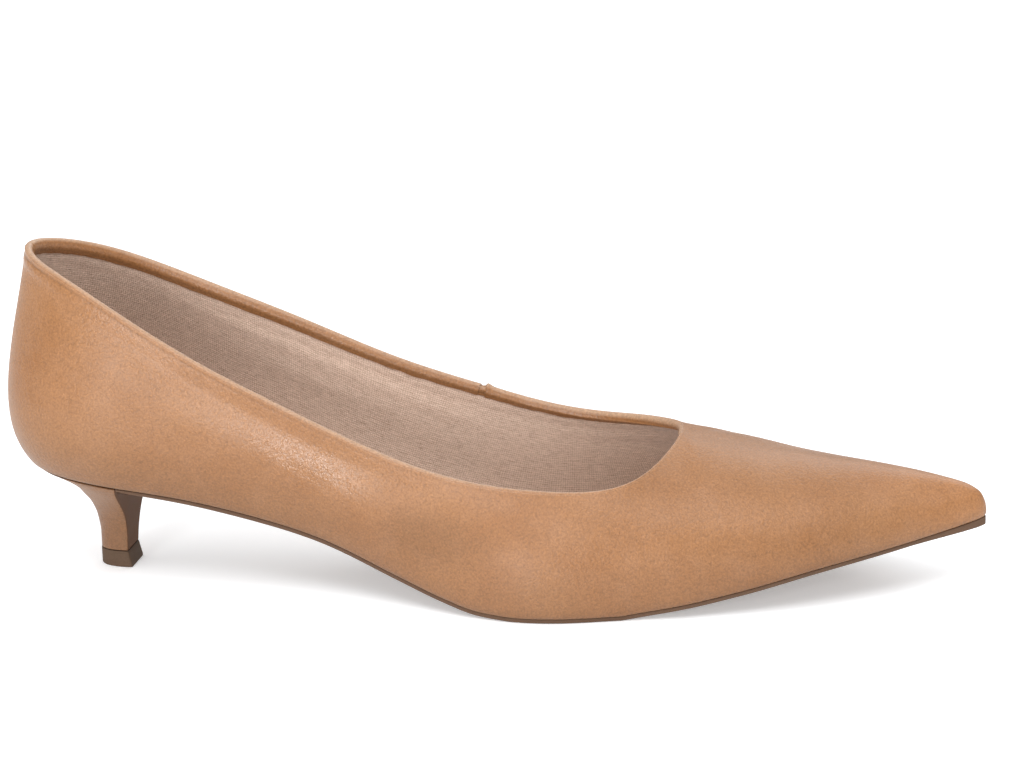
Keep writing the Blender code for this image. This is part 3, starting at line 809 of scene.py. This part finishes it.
def build_sheet(name, plan, inset, toe_share, start, top_of, bottom_of, edge_shape, crown, look,
                replaced):
    """A sheet that follows the bed, with a shaped edge and a crowned top."""
    outer, inner = side_lines(plan, inset, toe_share)
    rear, toe = outer[0, 0] + 0.03, outer[-1, 0] - 0.03
    share = np.linspace(0.0, 1.0, 200)
    if start is None:
        places = rear + (toe - rear) * (1 - np.cos(np.pi * share)) / 2
    else:
        places = start + (toe - start) * np.sin(np.pi * share / 2)
    left = np.column_stack([places, np.interp(places, outer[:, 0], outer[:, 1])])
    right = np.column_stack([places, np.interp(places, inner[:, 0], inner[:, 1])])
    ring = np.concatenate([left, right[::-1]])
    along = unit(np.roll(ring, -1, 0) - np.roll(ring, 1, 0))
    inward = np.stack([-along[:, 1], along[:, 0]], 1)
    into = {1: inward[: len(places)], -1: inward[len(places):][::-1]}
    width = right[:, 1] - left[:, 1]
    most = max(i for i, _ in edge_shape)
    keep = held(width * 0.45 / most)[:, None]
    across = np.linspace(0, 1, 15)[1:-1]
    section = []
    for shape, line, way in ((edge_shape, left, 1), (edge_shape[::-1], right, -1)):
        flank = [(line + into[way] * i * keep, level) for i, level in shape]
        section += flank
        near, level = flank[-1]
        other_line, other_into = (right, into[-1]) if way > 0 else (left, into[1])
        far = other_line + other_into * shape[-1][0] * keep
        section += [(near + (far - near) * t, level) for t in across]
    points = []
    for flat, level in section:
        middle = (flat[:, 1] - left[:, 1]) / np.maximum(width, 0.1) * 2 - 1
        rise = crown * held(1 - middle**2) * held(width / 20) * level
        low, high = bottom_of(flat[:, 0]), top_of(flat[:, 0])
        points.append(np.column_stack([flat, low + (high - low) * level + rise]))
    points = np.array(points)
    size, count = points.shape[:2]
    index = np.pad(np.arange(size * count).reshape(size, count), ((0, 1), (0, 0)), "wrap")
    faces = [list(face) for face in grid_faces(index)]
    faces += [list(range(0, size * count, count)), list(range(count - 1, size * count, count))]
    flat = points.reshape(-1, 3)
    threads = np.column_stack([flat[:, 0], flat[:, 1], np.zeros(len(flat))])
    return add_piece(name, flat, faces, look, 50.0, {"threads": threads}, replaced)


def seat_ring(plan, steps):
    """Seat outline of the heel from the outer breast corner round the back to the inner one."""
    outer, inner = side_lines(plan, plan.heel_inset)
    rear = outer[0, 0]
    share = 1 - np.cos(np.linspace(0.0, np.pi / 2, steps))
    places = rear + (plan.heel_breast - rear) * share
    left = [(x, np.interp(x, outer[:, 0], outer[:, 1])) for x in places[:0:-1]]
    right = [(x, np.interp(x, inner[:, 0], inner[:, 1])) for x in places[1:]]
    return np.array(left + [tuple(outer[0])] + right)


def heel_seat(plan, extra):
    """Closed seat outline with these points along the breast, its rear, half width, the share
    of every point towards the breast, and the number of its covered columns."""
    ring = seat_ring(plan, SEAT_STEPS)
    between = np.linspace(0, 1, extra + 2)[1:-1, None]
    seat = np.concatenate([ring, ring[-1] + (ring[0] - ring[-1]) * between])
    rear = seat[:, 0].min()
    ahead = (seat[:, 0] - rear) / (plan.heel_breast - rear)
    return seat, rear, np.abs(seat[:, 1]).max(), ahead, len(ring) - 1


def eased(ring, reach):
    """A closed ring with its corners eased over this many millimetres."""
    size = np.linalg.norm(np.roll(ring, -1, 0) - ring, axis=1)
    run = np.concatenate([[0.0], np.cumsum(size)])
    closed = np.concatenate([ring, ring[:1]])
    total = np.zeros_like(ring)
    weights = 0.0
    for step in np.linspace(-2, 2, 17):
        at = (run[:-1] + step * reach) % run[-1]
        weight = bell(step)
        total += weight * np.column_stack([np.interp(at, run, closed[:, k]) for k in (0, 1)])
        weights += weight
    return total / weights


def loft(name, rings, look, replaced, sharp=40.0, second=None, second_from=0):
    """Solid between rings from top to bottom, closed at both ends."""
    size = len(rings[0])
    points = np.concatenate(rings)
    index = np.arange(len(points)).reshape(len(rings), size)
    index = np.pad(index, ((0, 0), (0, 1)), "wrap")
    faces = [list(face) for face in grid_faces(index)]
    columns_of = np.tile(np.arange(size), len(rings) - 1)
    faces += [list(range(size)), list(range(len(points) - size, len(points)))]
    if second:
        second = (second, np.concatenate([columns_of >= second_from, [0, 0]]))
    return add_piece(name, points, faces, look, sharp, None, replaced, second)


def build_heel(plan, look, breast_look):
    seat, rear, half, ahead, covered = heel_seat(plan, 40)
    tip_top = plan.top_piece_height + plan.clearance
    tip_front = plan.tip_back + plan.tip_length - plan.tip_flare - plan.tip_step
    tip_half = (plan.tip_width - plan.tip_side_flare) / 2 - plan.tip_step
    rings = []
    drops = 100 * np.linspace(0, 1, 70) ** 1.15
    drops = np.concatenate([[0.0, 0.0, 0.6, 1.3], drops[1:], [100.0, 100.0]])
    ease = [0.75, 0.35, 0.1] + [0.0] * (len(drops) - 5) + [0.15, 0.7]
    for drop, inset in zip(drops, ease):
        back, front, width = (
            gentle(drop, [(row[0], row[k]) for row in HEEL]) / 100.0 for k in (1, 2, 3)
        )
        x_back = rear + (plan.tip_back + plan.tip_step - rear) * back
        x_front = plan.heel_breast + (tip_front - plan.heel_breast) * front
        reach = (tip_half + (half - tip_half) * width) / half
        flat = np.column_stack([x_back + (x_front - x_back) * ahead, seat[:, 1] * reach])
        flat = eased(flat, HEEL_EASE)
        middle = flat.mean(0)
        flat = flat + (middle - flat) * (inset / max(np.abs(flat - middle).max(), 1))
        here = rear + (flat[:, 0] - x_back) / (x_front - x_back) * (plan.heel_breast - rear)
        seat_top = bed_height(plan, here) - plan.clearance * 0.5
        z = seat_top + (tip_top - seat_top) * drop / 100.0
        rings.append(np.column_stack([flat, z]))
    return loft("heel_cover", rings, look, "heel", 40.0, breast_look, covered)


def build_top_piece(plan, look):
    seat, _, half, ahead, _ = heel_seat(plan, 30)
    rings = []
    levels = [(1.0, 0.30), (1.0, 0.08), (0.965, 0.0), (0.7, 0.0), (0.4, 0.0), (0.12, 0.0),
              (0.05, 0.08), (0.012, 0.22), (0.0, 0.45)]
    for level, inset in levels:
        length = plan.tip_length - plan.tip_flare * level - 2 * inset
        width = plan.tip_width - plan.tip_side_flare * level - 2 * inset
        flat = np.column_stack(
            [plan.tip_back + inset + length * ahead, seat[:, 1] * width / 2 / half]
        )
        flat = eased(flat, TIP_EASE)
        z = np.full(len(flat), plan.top_piece_height * level)
        rings.append(np.column_stack([flat, z]))
    return loft("heel_tip", rings, look, "top_piece", 50.0)


def build_stitches(plan, upper, look):
    """Short thread bars across the inner side's seam, as one piece."""
    column = int(np.abs(upper.stations - SEAM).argmin())
    before, row, after = upper.index[-1][[column - 3, column, column + 3]]
    line, across = upper.points[row], unit(upper.points[after] - upper.points[before])
    run = np.concatenate([[0.0], np.cumsum(np.linalg.norm(np.diff(line, axis=0), axis=1))])
    at = np.arange(2.2, run[-1] - 0.6, plan.stitch_pitch)
    centre, out, way = (
        np.stack([np.interp(at, run, values[:, k]) for k in range(3)], -1)[:, None, None]
        for values in (line, upper.normals[row], across)
    )
    out, way = unit(out), unit(way)
    up = np.cross(way, out)
    t = np.linspace(-1, 1, STITCH_RINGS)[:, None, None]
    turn = np.linspace(0, 2 * np.pi, STITCH_TURNS, endpoint=False)[:, None]
    middle = centre + out * STITCH_LIFT * (1 + np.abs(t) ** 1.5)
    middle = middle + (way * STITCH_HALF + up * 0.12) * t
    radius = STITCH_RADIUS * np.sqrt(1 - (0.96 * t) ** 4)
    points = middle + (out * np.cos(turn) + up * np.sin(turn)) * radius
    faces = []
    for bar in np.arange(points[..., 0].size).reshape(points.shape[:3]):
        faces += [*grid_faces(np.pad(bar, ((0, 0), (0, 1)), "wrap"), turn=True), bar[0], bar[-1]]
    return add_piece("seam_stitches", points.reshape(-1, 3), faces, look, 60.0)


# ---- materials


class Wire:
    """A shader value: a socket whose arithmetic adds Math nodes to its material."""

    def __init__(self, tree, socket=None):
        self.tree, self.socket = tree, socket

    def node(self, kind, settings=None, inputs=None, output=0):
        """A node of this type, with its settings made first and then its sockets' values."""
        made = self.tree.nodes.new(kind)
        for name, value in (settings or {}).items():
            setattr(made, name, value)
        for key, value in (inputs or {}).items():
            if isinstance(value, Wire):
                self.tree.links.new(value.socket, made.inputs[key])
            else:
                made.inputs[key].default_value = value
        return Wire(self.tree, made.outputs[output])

    def math(self, operation, *values, clamp=False):
        inputs = dict(enumerate(values))
        return self.node("ShaderNodeMath", {"operation": operation, "use_clamp": clamp}, inputs)

    def __add__(self, other):
        return self.math("ADD", self, other)

    __radd__ = __add__

    def __mul__(self, other):
        return self.math("MULTIPLY", self, other)

    __rmul__ = __mul__

    def __sub__(self, other):
        return self.math("SUBTRACT", self, other)

    def __rsub__(self, other):
        return self.math("SUBTRACT", other, self)

    def __truediv__(self, other):
        return self.math("DIVIDE", self, other)

    def __rtruediv__(self, other):
        return self.math("DIVIDE", other, self)

    def sine(self):
        return self.math("SINE", self)

    def size(self):
        return self.math("ABSOLUTE", self)

    def between(self, low, high):
        """0 below low, 1 above high and straight between."""
        return self.math("DIVIDE", self - low, high - low, clamp=True)

    def mixed(self, factor, first, second):
        """Colour between first and second."""
        first, second = (c if isinstance(c, Wire) else (*c, 1.0) for c in (first, second))
        settings = {"data_type": "RGBA"}
        return self.node("ShaderNodeMix", settings, {0: factor, 6: first, 7: second}, 2)

    def shaded(self, colour, amount):
        """Colour multiplied by an even grey of this amount."""
        grey = self.node("ShaderNodeCombineColor", {}, {0: amount, 1: amount, 2: amount})
        settings = {"data_type": "RGBA", "blend_type": "MULTIPLY"}
        return self.node("ShaderNodeMix", settings, {0: 1.0, 6: colour, 7: grey}, 2)

    def noise(self, at, per_mm, detail=2.0, rough=0.5):
        inputs = {"Vector": at, "Scale": per_mm, "Detail": detail, "Roughness": rough}
        return self.node("ShaderNodeTexNoise", {}, inputs)

    def cells(self, at, per_mm):
        return self.node("ShaderNodeTexVoronoi", {}, {"Vector": at, "Scale": per_mm})

    def part(self, vector, axis):
        return self.node("ShaderNodeSeparateXYZ", {}, {0: vector}, axis)

    def value(self, label, output=2):
        """A number kept on the mesh: output 2, or a vector: output 1."""
        return self.node("ShaderNodeAttribute", {"attribute_name": label}, {}, output)

    def in_mm(self):
        """Place on the object, in millimetres."""
        place = self.node("ShaderNodeTexCoord", {}, {}, 3)
        settings = {"operation": "SCALE"}
        return self.node("ShaderNodeVectorMath", settings, {0: place, "Scale": 1 / MM})

    def bump(self, height, strength=1.0):
        """Normal from a height in millimetres."""
        inputs = {"Strength": strength, "Distance": MM, "Height": height}
        return self.node("ShaderNodeBump", {}, inputs)


def finish(name, colour_of, fixed):
    """A material: colour_of gives its linked sockets, and fixed its constant ones."""
    look = bpy.data.materials.new(name)
    look.use_nodes = True
    tree = look.node_tree
    shader = tree.nodes["Principled BSDF"]
    start = Wire(tree)
    for key, value in fixed.items():
        shader.inputs[key].default_value = value
    for key, value in colour_of(start).items():
        tree.links.new(value.socket, shader.inputs[key])
    return look


def leather(plan, colours, name, place="wall"):
    """Smooth tan leather: fine pebbles, cloudy colour and a satin dressing, with painted highlights
    on the rim and painted shade and light over the wall and the heel.
    """

    def build(w):
        at = w.in_mm()
        cloud = w.noise(at, 0.035, 3.0, 0.55)
        patch = w.noise(at, 0.11, 4.0, 0.6)
        fine = w.noise(at, 1.6, 3.0, 0.72)
        pebble = w.cells(at, 1.0 / plan.grain_size)
        small = w.cells(at, 2.3 / plan.grain_size)
        colour = w.mixed(cloud.between(0.35, 0.68) * 0.75, colours.tan, colours.tan_deep)
        colour = w.mixed(patch.between(0.45, 0.78) * 0.5, colour, colours.tan_rosy)
        depth = pebble.between(0.25, 0.75)
        tone = 1.05 - depth * 0.15 - small * 0.05 + (fine - 0.5) * 0.95
        if place == "rim":
            # Painted highlight along the crest of the turned edge
            crest = 1 - w.value("edge").between(-0.40, 0.25)
            # Painted shade on the lower part of the turned edge's band, where it faces down into
            # the shoe
            under = w.value("depth").between(2.0, 2.4) * w.value("edge").between(1.2, 2.2)
            colour = w.mixed(crest * 0.55, colour, colours.rim)
            tone = tone * (1.0 - under * 0.30)
        elif place == "wall":
            crest = 1 - w.value("edge").between(0.30, 0.60)
            foot = 1 - w.value("foot").between(0.2, 3.0)
            low = 1 - w.value("foot").between(1.0, 16.0)
            # Painted shade: a dark line in the groove under the rim at the rear
            line = w.value("edge").between(0.80, 1.0) * (1 - w.value("edge").between(1.3, 1.7))
            # Painted highlight: the rim colour on the topline's crest stands in for its shine
            colour = w.mixed(crest * 0.55, colour, colours.rim)
            flank = (1 - w.value("foot").between(6.0, 26.0)) * w.value("rear")
            dull_and_shaded = 1 - w.value("polish").between(-0.40, 0.0)
            # Painted shade: darker towards the feather line and over the lower wall
            tone = tone * (1.0 - foot * 0.12) * (1.0 - low * 0.17)
            # Painted shade: darker on the lower rear quarter and in the dull hollow below the waist
            tone = tone * (1.0 - flank * 0.17) * (1.0 - dull_and_shaded * 0.20)
            # Painted light: the toe's leather is lightened
            tone = tone * (1.0 - line * w.value("rear") * 0.22) * (1.0 + w.value("toe") * 0.36)
        elif place == "heel":
            # Painted shade: the heel's leather colour is darkened for the shade under the shoe
            tone = tone * 0.66
        polish = w.value("polish") if place == "wall" else (0.6 if place == "rim" else 0.1)
        rough = 0.46 - polish * 0.30 + patch * 0.06 + depth * 0.05 + (fine - 0.5) * 0.12
        wrinkle = w.noise(at, 0.80, 3.0, 0.6)
        height = depth * -0.030 + fine * 0.050 + wrinkle * 0.17 + w.noise(at, 0.25, 2.0) * 0.06
        return {
            "Base Color": w.shaded(colour, tone),
            "Roughness": rough,
            "Normal": w.bump(height, 0.9),
        }

    fixed = {"Specular IOR Level": 0.5, "Coat Weight": 0.05, "Coat Roughness": 0.3}
    return finish(name, build, fixed)


def cloth(plan, colours, name):
    """Plain weave of thick and thin threads."""

    def build(w):
        threads = w.value("threads", 1)
        at = w.in_mm()
        wobble = (w.noise(at, 0.35, 2.0) - 0.5) * 0.5
        turn = np.pi / plan.weave_pitch
        u = (w.part(threads, 0) + wobble) * turn
        v = (w.part(threads, 1) + wobble) * turn
        warp, weft = u.sine(), v.sine()
        over = (warp * weft).between(-0.15, 0.15)
        height = warp.size() * over + weft.size() * (1 - over)
        run = w.node("ShaderNodeCombineXYZ", {}, {0: w.part(threads, 0) * 0.30,
                                                  1: w.part(threads, 1) * 1.9})
        slub = w.noise(run, 1.0, 3.0, 0.65)
        fleck = w.noise(at, 1.7, 2.0, 0.6)
        soft = w.noise(at, 0.06, 2.0, 0.5)
        # The threads' tops are lighter and the gaps between them darker, painted shade of the
        # weave's relief; slubs and flecks add the thread's own tone
        light = height.between(0.10, 0.95) * 0.60 + slub.between(0.32, 0.68) * 0.45
        light = light + (fleck - 0.5) * 0.8
        colour = w.mixed(light, colours.lining_dark_and_gap_shade, colours.lining)
        tone = 0.93 + soft * 0.14
        relief = height * 0.10 + slub * 0.08
        return {
            "Base Color": w.shaded(colour, tone),
            "Roughness": 0.80 + slub * 0.15,
            "Normal": w.bump(relief, 0.9),
        }

    fixed = {"Specular IOR Level": 0.3, "Sheen Weight": 0.25, "Sheen Roughness": 0.5}
    return finish(name, build, fixed)


def dark_stuff(name, base, rough, speck, shine=0.08):
    """Dense dark sole leather or rubber, with specks and faint scuffs."""

    def build(w):
        at = w.in_mm()
        cloud = w.noise(at, 0.12, 3.0, 0.6)
        fine = w.noise(at, 2.4, 3.0, 0.65)
        streak = w.noise(at, 0.8, 4.0, 0.7)
        tone = 0.82 + cloud * 0.26 + (fine - 0.5) * speck
        scuff = [min(1.0, c * 1.7) for c in base]
        colour = w.mixed(streak.between(0.62, 0.80) * 0.35, base, scuff)
        return {
            "Base Color": w.shaded(colour, tone),
            "Roughness": rough + (cloud - 0.5) * 0.2 + (fine - 0.5) * 0.15,
            "Normal": w.bump(fine * 0.03 + streak * 0.02, 0.8),
        }

    return finish(name, build, {"Specular IOR Level": shine})


def floor_look(colours):
    def build(w):
        at = w.in_mm()
        soft = w.noise(at, 0.004, 2.0, 0.5)
        tint = w.mixed(soft, colours.floor, [c * 0.985 for c in colours.floor])
        return {"Base Color": tint, "Roughness": 0.75 + soft * 0.1}

    fixed = {"Specular IOR Level": 0.2, "Emission Color": (1, 1, 1, 1), "Emission Strength": 0.33}
    return finish("pale_floor", build, fixed)


# ---- studio

# Camera at the photograph's angle: degrees, metres and the point that it looks at
CAMERA_TURN, CAMERA_RISE, CAMERA_ROLL, CAMERA_FAR = 11.0, 15.5, -1.5, 1.10
CAMERA_AIM = (0.00658, 0.00127, 0.0529)
CAMERA_LENS = 146.2

# Lights: name, direction from the camera's side (degrees), height (degrees), distance (m),
# width (m), height (m), power (W)
LIGHTS = [
    ("key_light", 8.0, 62.0, 1.7, 1.1, 1.1, 15.0),
    ("front_softbox", -14.2, 11.5, 1.5, 0.26, 0.34, 9.0),
    ("back_light", 172.0, 33.0, 1.6, 1.2, 0.5, 3.6),
]
# What the lights look at, and half the width of the floor, in metres
LIGHT_AIM, FLOOR_HALF = (0, 0, 0.03), 4.0
# Strength of the sky at the horizon and overhead
SKY_LOW, SKY_HIGH = 0.38, 1.05


def standing(azimuth, elevation, far, aim, roll=0.0):
    """Place this far from the aim, at these degrees from the outer side and up, facing it."""
    a, e = np.radians(azimuth), np.radians(elevation)
    back = Vector((np.sin(a) * np.cos(e), -np.cos(a) * np.cos(e), np.sin(e)))
    facing = back.to_track_quat("Z", "Y").to_matrix().to_4x4()
    turn = Matrix.Rotation(np.radians(roll), 4, "Z")
    return Matrix.Translation(Vector(aim) + back * far) @ facing @ turn


def build_stage(colours):
    """Camera, lights, sky and floor."""
    scene = bpy.context.scene
    lens = bpy.data.cameras.new("camera")
    lens.lens, lens.sensor_width, lens.sensor_fit = CAMERA_LENS, 36.0, "HORIZONTAL"
    lens.clip_end = 50.0
    place = standing(CAMERA_TURN, CAMERA_RISE, CAMERA_FAR, CAMERA_AIM, CAMERA_ROLL)
    scene.camera = add_object("camera", lens, place)
    for name, azimuth, elevation, far, width, height, power in LIGHTS:
        lamp = bpy.data.lights.new(name, "AREA")
        lamp.shape, lamp.size, lamp.size_y, lamp.energy = "RECTANGLE", width, height, power
        add_object(name, lamp, standing(azimuth, elevation, far, LIGHT_AIM))
    world = bpy.data.worlds.new("studio")
    world.use_nodes = True
    background = world.node_tree.nodes["Background"]
    background.inputs[0].default_value = (1, 1, 1, 1)
    start = Wire(world.node_tree)
    height = start.part(start.node("ShaderNodeTexCoord"), 2)
    strength = height.between(0.05, 0.75) * (SKY_HIGH - SKY_LOW) + SKY_LOW
    world.node_tree.links.new(strength.socket, background.inputs[1])
    scene.world = world
    scene.view_settings.view_transform = "Standard"
    scene.view_settings.look = "None"
    work = bmesh.new()
    bmesh.ops.create_grid(work, x_segments=24, y_segments=24, size=FLOOR_HALF)
    mesh = bpy.data.meshes.new("floor")
    work.to_mesh(mesh)
    work.free()
    mesh.materials.append(floor_look(colours))
    floor = add_object("floor", mesh)


# ---- operators and panel


def settings():
    scene = bpy.context.scene
    return Plan(scene.pump_sizes), scene.pump_colours


class PUMP_OT_stage(bpy.types.Operator):
    """Adds the floor, the lights and the camera"""

    bl_idname = "pump.stage"
    bl_label = "Stage"

    def execute(self, context):
        build_stage(settings()[1])
        return {"FINISHED"}


class PUMP_OT_upper(bpy.types.Operator):
    """Builds the outer leather, the turned edge around the collar and the seam's stitches"""

    bl_idname = "pump.upper"
    bl_label = "Upper"

    def execute(self, context):
        plan, colours = settings()
        upper = Upper(plan)
        build_upper_leather(plan, upper, leather(plan, colours, "tan_leather_outer"))
        build_turned_edge(plan, upper, leather(plan, colours, "tan_leather_rim", "rim"))
        thread = dark_stuff("seam_thread", colours.thread, 0.7, 0.3, 0.2)
        build_stitches(plan, upper, thread)
        return {"FINISHED"}


class PUMP_OT_lining(bpy.types.Operator):
    """Builds the woven lining and the insole"""

    bl_idname = "pump.lining"
    bl_label = "Lining and insole"

    def execute(self, context):
        plan, colours = settings()
        weave = cloth(plan, colours, "woven_cloth")
        build_lining(plan, weave)
        build_sheet(
            "insole_sock", plan, plan.wall - 0.5, 1.0, None,
            lambda x: bed_height(plan, x) + plan.insole_thickness,
            lambda x: bed_height(plan, x) + 0.02,
            INSOLE_EDGE, 0.35, weave, "insole",
        )
        return {"FINISHED"}


class PUMP_OT_sole(bpy.types.Operator):
    """Builds the outsole, the covered heel and its top piece"""

    bl_idname = "pump.sole"
    bl_label = "Sole and heel"

    def execute(self, context):
        plan, colours = settings()
        sole = dark_stuff("brown_sole_leather", colours.sole, 0.62, 0.35)
        build_sheet(
            "sole", plan, plan.sole_inset, 0.2, plan.heel_breast + plan.clearance,
            lambda x: bed_height(plan, x) - plan.clearance * 0.4,
            lambda x: sole_underside(plan, x),
            SOLE_EDGE, 0.0, sole, "outsole",
        )
        # The breast's dark brown is partly painted shade
        breast = dark_stuff("brown_breast_leather_and_shade", colours.breast, 0.65, 0.5)
        build_heel(plan, leather(plan, colours, "tan_leather_heel", "heel"), breast)
        rubber = dark_stuff("brown_rubber_tip", colours.rubber, 0.62, 0.45)
        build_top_piece(plan, rubber)
        return {"FINISHED"}


class PUMP_PT_panel(bpy.types.Panel):
    """Lists the pump's pieces, sizes and colours"""

    bl_idname = "PUMP_PT_panel"
    bl_label = "Kitten heel pump"
    bl_space_type = "VIEW_3D"
    bl_region_type = "UI"
    bl_category = "Pump"

    def draw(self, context):
        for kind in OPERATORS:
            self.layout.operator(kind.bl_idname)
        for group in (context.scene.pump_sizes, context.scene.pump_colours):
            for name in group.__annotations__:
                self.layout.prop(group, name)


OPERATORS = (PUMP_OT_stage, PUMP_OT_upper, PUMP_OT_lining, PUMP_OT_sole)
CLASSES = (PumpSizes, PumpColours, *OPERATORS, PUMP_PT_panel)


def register():
    for kind in CLASSES:
        bpy.utils.register_class(kind)
    bpy.types.Scene.pump_sizes = bpy.props.PointerProperty(type=PumpSizes)
    bpy.types.Scene.pump_colours = bpy.props.PointerProperty(type=PumpColours)


def unregister():
    del bpy.types.Scene.pump_colours
    del bpy.types.Scene.pump_sizes
    for kind in reversed(CLASSES):
        bpy.utils.unregister_class(kind)


def main():
    register()
    bpy.ops.pump.stage()
    bpy.ops.pump.upper()
    bpy.ops.pump.lining()
    bpy.ops.pump.sole()


if __name__ == "__main__":
    main()
